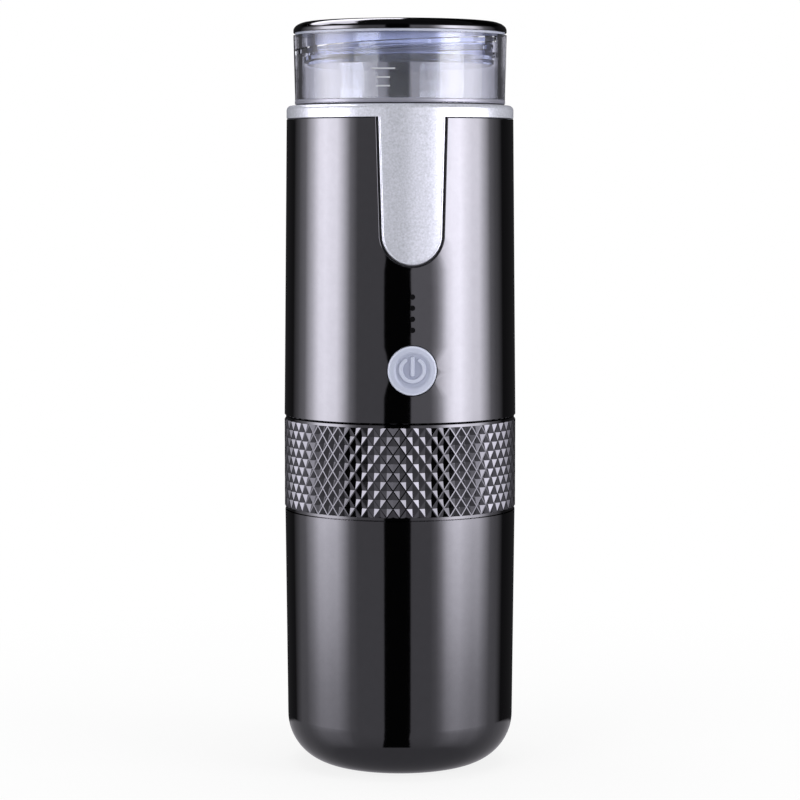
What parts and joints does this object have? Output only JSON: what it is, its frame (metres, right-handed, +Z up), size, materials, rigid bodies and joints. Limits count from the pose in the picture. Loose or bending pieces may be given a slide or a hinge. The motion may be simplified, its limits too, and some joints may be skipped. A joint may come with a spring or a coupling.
{
  "type": "portable espresso machine",
  "caption": "Slim upright battery espresso machine: black cup, knurled basket ring, gloss black pump body with power button and silver collar, clear water tank and screw lid.",
  "frame": {"origin": "middle of the cup's base, on the surface it stands on", "axes": "+Z up along the machine's axis, -Y to the front where the button is, +X to the right seen from the front"},
  "size_m": [0.07, 0.0704, 0.2242],
  "materials": {
    "gloss_black": "deep gloss",
    "knurl_black": "gloss",
    "satin_silver": "satin, fine blasted",
    "clear_plastic": "clear",
    "clear_guide": "clear, frosted",
    "grey_silicone": "translucent, matte",
    "black_rubber": "matte",
    "red_silicone": "matte",
    "pale_silicone": "translucent, matte",
    "dark_plastic": "fine moulded grain",
    "grey_plastic": "moulded",
    "pump_plastic": "moulded",
    "gear_plastic": "moulded",
    "heat_plastic": "moulded",
    "board_green": "solder mask",
    "chip_black": "moulded",
    "lamp_white": "moulded",
    "stainless": "drawn",
    "screw_steel": "zinc plated",
    "nickel": "plated",
    "brass": "turned",
    "copper_winding": "enamelled wire",
    "magnet": "ferrite",
    "heater_film": "printed film on steel",
    "cell_sleeve": "shrunk sleeve"
  },
  "bodies": {
    "cup": {"coffee_cup": "gloss_black"},
    "carrier": {"basket_carrier": "dark_plastic", "knurled_sleeve": "knurl_black", "trim_ring": "gloss_black", "drip_funnel": "dark_plastic", "funnel_screws": "screw_steel", "cup_o_ring": "black_rubber"},
    "basket": {"filter_basket": "stainless"},
    "gasket": {"brew_gasket": "red_silicone"},
    "valve_ball": {"valve_ball": "stainless"},
    "pump_drive": {"motor_shaft": "stainless", "motor_rotor": "copper_winding", "drive_gear": "gear_plastic"},
    "idler": {"idler_gear": "gear_plastic"},
    "button": {"power_button": "grey_silicone", "switch_plunger": "gear_plastic"},
    "lid_seal": {"lid_seal": "pale_silicone"},
    "lid": {"lid_cap": "gloss_black", "lid_plug": "clear_plastic"},
    "machine": {"brew_head": "dark_plastic", "shower_screen": "stainless", "screen_screw": "screw_steel", "valve_spring": "stainless", "valve_retainer": "brass", "head_screws": "screw_steel", "lower_frame": "grey_plastic", "upper_frame": "grey_plastic", "frame_screws": "screw_steel", "battery_cell_1": "cell_sleeve", "battery_cell_2": "cell_sleeve", "battery_cell_3": "cell_sleeve", "cell_tab_lower": "nickel", "cell_tab_upper": "nickel", "control_board": "board_green", "board_chips": "chip_black", "indicator_lamps": "lamp_white", "light_guide": "clear_guide", "tact_switch": "dark_plastic", "charge_board": "board_green", "usb_c_socket": "nickel", "pump_cover": "pump_plastic", "pump_body": "pump_plastic", "idler_axle": "stainless", "pump_screws": "screw_steel", "motor_can": "nickel", "motor_magnets": "magnet", "motor_end_cap": "dark_plastic", "outlet_nipple": "brass", "inlet_tube": "pale_silicone", "heater_pot": "stainless", "heater_plate": "heater_film", "pot_support": "heat_plastic", "pot_gasket": "red_silicone", "temperature_sensor": "brass", "upper_shell": "gloss_black", "silver_collar": "satin_silver", "water_tank": "clear_plastic", "tank_seal": "black_rubber"}
  },
  "joints": [
    {"name": "cup_pull", "type": "slide", "parent": "cup", "child": "carrier", "axis": [0, 0, 1], "range_m": [0, 0.04]},
    {"name": "head_lift", "type": "slide", "parent": "carrier", "child": "gasket", "axis": [0, 0, 1], "range_m": [0, 0.0601]},
    {"name": "head_turn", "type": "hinge", "parent": "gasket", "child": "machine", "pos_m": [0, 0, 0.1], "axis": [0, 0, 1], "range_deg": [0, 2160]},
    {"name": "basket_lift", "type": "slide", "parent": "carrier", "child": "basket", "axis": [0, 0, 1], "range_m": [0, 0.0301]},
    {"name": "lid_lift", "type": "slide", "parent": "machine", "child": "lid_seal", "axis": [0, 0, 1], "range_m": [0, 0.0271]},
    {"name": "lid_turn", "type": "hinge", "parent": "lid_seal", "child": "lid", "pos_m": [0, 0, 0.22], "axis": [0, 0, 1], "range_deg": [0, 1080]},
    {"name": "button_press", "type": "slide", "parent": "machine", "child": "button", "axis": [0, 1, 0], "range_m": [0, 0.0008], "stiffness_N_per_m": 400, "springref_m": -0.0005},
    {"name": "valve_open", "type": "slide", "parent": "machine", "child": "valve_ball", "axis": [0, 0, -1], "range_m": [0, 0.001], "stiffness_N_per_m": 300, "springref_m": -0.001, "deforming": ["valve_spring"]},
    {"name": "pump_spin", "type": "hinge", "parent": "machine", "child": "pump_drive", "pos_m": [-0.005, -0.01, 0.12], "axis": [0, 0, 1], "continuous": true},
    {"name": "idler_spin", "type": "hinge", "parent": "machine", "child": "idler", "pos_m": [0.005, -0.01, 0.12], "axis": [0, 0, 1], "continuous": true}
  ],
  "couplings": [
    {"joint": "head_lift", "follows": "head_turn", "m_per_rad": 0.0015915},
    {"joint": "basket_lift", "follows": "head_turn", "m_per_rad": 0.00079577},
    {"joint": "lid_lift", "follows": "lid_turn", "m_per_rad": 0.0014324},
    {"joint": "idler_spin", "follows": "pump_spin", "ratio": -1}
  ]
}
